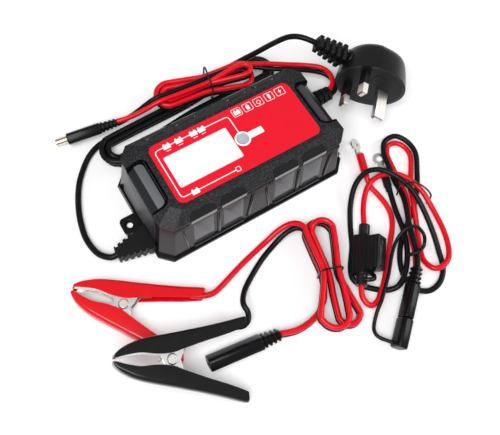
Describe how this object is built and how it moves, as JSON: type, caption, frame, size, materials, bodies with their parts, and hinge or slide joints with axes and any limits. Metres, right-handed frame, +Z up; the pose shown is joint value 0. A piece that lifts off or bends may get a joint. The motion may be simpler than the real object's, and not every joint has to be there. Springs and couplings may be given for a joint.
{
  "type": "car battery charger",
  "caption": "Smart car battery charger on a bench with its mains lead and plug, output lead, red and black clip lead and fused ring-terminal lead.",
  "frame": {"origin": "bottom centre of the housing's base flange", "axes": "+X along the housing to its output lead, -Y to the front beside the clips, +Z up through the display"},
  "size_m": [0.2741, 0.2404, 0.0504],
  "materials": {
    "charcoal_plastic": "fine texture",
    "base_plastic": "satin moulded",
    "smoke_plastic": "glossy translucent smoke",
    "seal_rubber": "soft",
    "red_label": "glossy printed film",
    "clear_window": "clear",
    "lcd_glass": "grey display",
    "circuit_board": "solder mask",
    "button_plastic": "translucent",
    "black_component": "moulded",
    "winding_tape": "tape",
    "capacitor_sleeve": "sleeve",
    "copper_choke": "enamelled wire",
    "heatsink_aluminium": "extruded",
    "zinc_steel": "zinc plated",
    "black_pvc": "soft PVC",
    "red_pvc": "soft PVC",
    "plug_plastic": "moulded",
    "pin_brass": "polished",
    "fuse_ceramic": "ceramic body with metal caps",
    "nickel_steel": "nickel plated",
    "fuse_orange": "translucent",
    "sleeve_pvc": "soft PVC"
  },
  "bodies": {
    "housing": {"base_tray": "base_plastic", "side_panels": "smoke_plastic", "top_cover": "charcoal_plastic", "housing_seal": "seal_rubber", "label_panel": "red_label", "window_lens": "clear_window", "lcd_module": "lcd_glass", "display_board": "circuit_board", "mode_switch": "black_component", "main_board": "circuit_board", "transformer": "winding_tape", "capacitors": "capacitor_sleeve", "line_choke": "copper_choke", "heatsink": "heatsink_aluminium", "power_transistors": "black_component", "bridge_rectifier": "black_component", "housing_screws": "zinc_steel", "mains_gland": "black_pvc", "mains_lead": "black_pvc", "mains_hank": "black_pvc", "plug_shell": "plug_plastic", "plug_face": "plug_plastic", "plug_pins": "pin_brass", "plug_relief": "black_pvc", "dc_gland": "black_pvc", "dc_lead_red": "red_pvc", "dc_lead_black": "black_pvc", "dc_hank_red": "red_pvc", "dc_hank_black": "black_pvc", "dc_connector": "black_pvc", "clip_connector": "black_pvc", "clip_lead_red": "red_pvc", "clip_lead_black": "black_pvc", "clip_hank_red": "red_pvc", "clip_hank_black": "black_pvc", "red_upper_grip": "red_pvc", "black_upper_grip": "black_pvc", "fixed_jaws": "nickel_steel", "clip_rivets": "nickel_steel", "red_spring": "nickel_steel", "black_spring": "nickel_steel", "ring_connector": "black_pvc", "cap_tether": "black_pvc", "ring_lead_red": "red_pvc", "ring_lead_black": "black_pvc", "fuse_holder": "black_component", "blade_fuse": "fuse_orange", "ring_terminals": "zinc_steel", "terminal_sleeves": "sleeve_pvc", "connector_contacts": "pin_brass", "ties": "black_pvc"},
    "mode_button_body": {"mode_button": "button_plastic"},
    "red_clip_handle": {"red_lower_grip": "red_pvc", "red_moving_jaw": "nickel_steel"},
    "black_clip_handle": {"black_lower_grip": "black_pvc", "black_moving_jaw": "nickel_steel"},
    "dust_cap_body": {"dust_cap": "black_pvc"},
    "fuse_cap_body": {"fuse_cap": "black_component"},
    "fuse_carrier_body": {"fuse_carrier": "plug_plastic", "plug_fuse": "fuse_ceramic"}
  },
  "joints": [
    {"name": "mode_button_press", "type": "slide", "parent": "housing", "child": "mode_button_body", "axis": [0, 0, -1], "range_m": [0, 0.0008], "stiffness_N_per_m": 400},
    {"name": "red_clip_hinge", "type": "hinge", "parent": "housing", "child": "red_clip_handle", "pos_m": [-0.1059, -0.0476, 0.0057], "axis": [0, 0, 1], "range_deg": [0, 25], "stiffness_Nm_per_rad": 0.4},
    {"name": "black_clip_hinge", "type": "hinge", "parent": "housing", "child": "black_clip_handle", "pos_m": [-0.0973, -0.0933, 0.0187], "axis": [0.1308, -0.2228, 0.966], "range_deg": [0, 10], "stiffness_Nm_per_rad": 0.4},
    {"name": "dust_cap_pull", "type": "slide", "parent": "housing", "child": "dust_cap_body", "axis": [-0.7594, -0.6486, -0.0523], "range_m": [0, 0.015]},
    {"name": "fuse_cap_lift", "type": "slide", "parent": "housing", "child": "fuse_cap_body", "axis": [0.5618, -0.455, 0.6909], "range_m": [0, 0.012]},
    {"name": "fuse_carrier_pull", "type": "slide", "parent": "housing", "child": "fuse_carrier_body", "axis": [-0.7049, -0.7084, -0.0361], "range_m": [0, 0.008]}
  ]
}
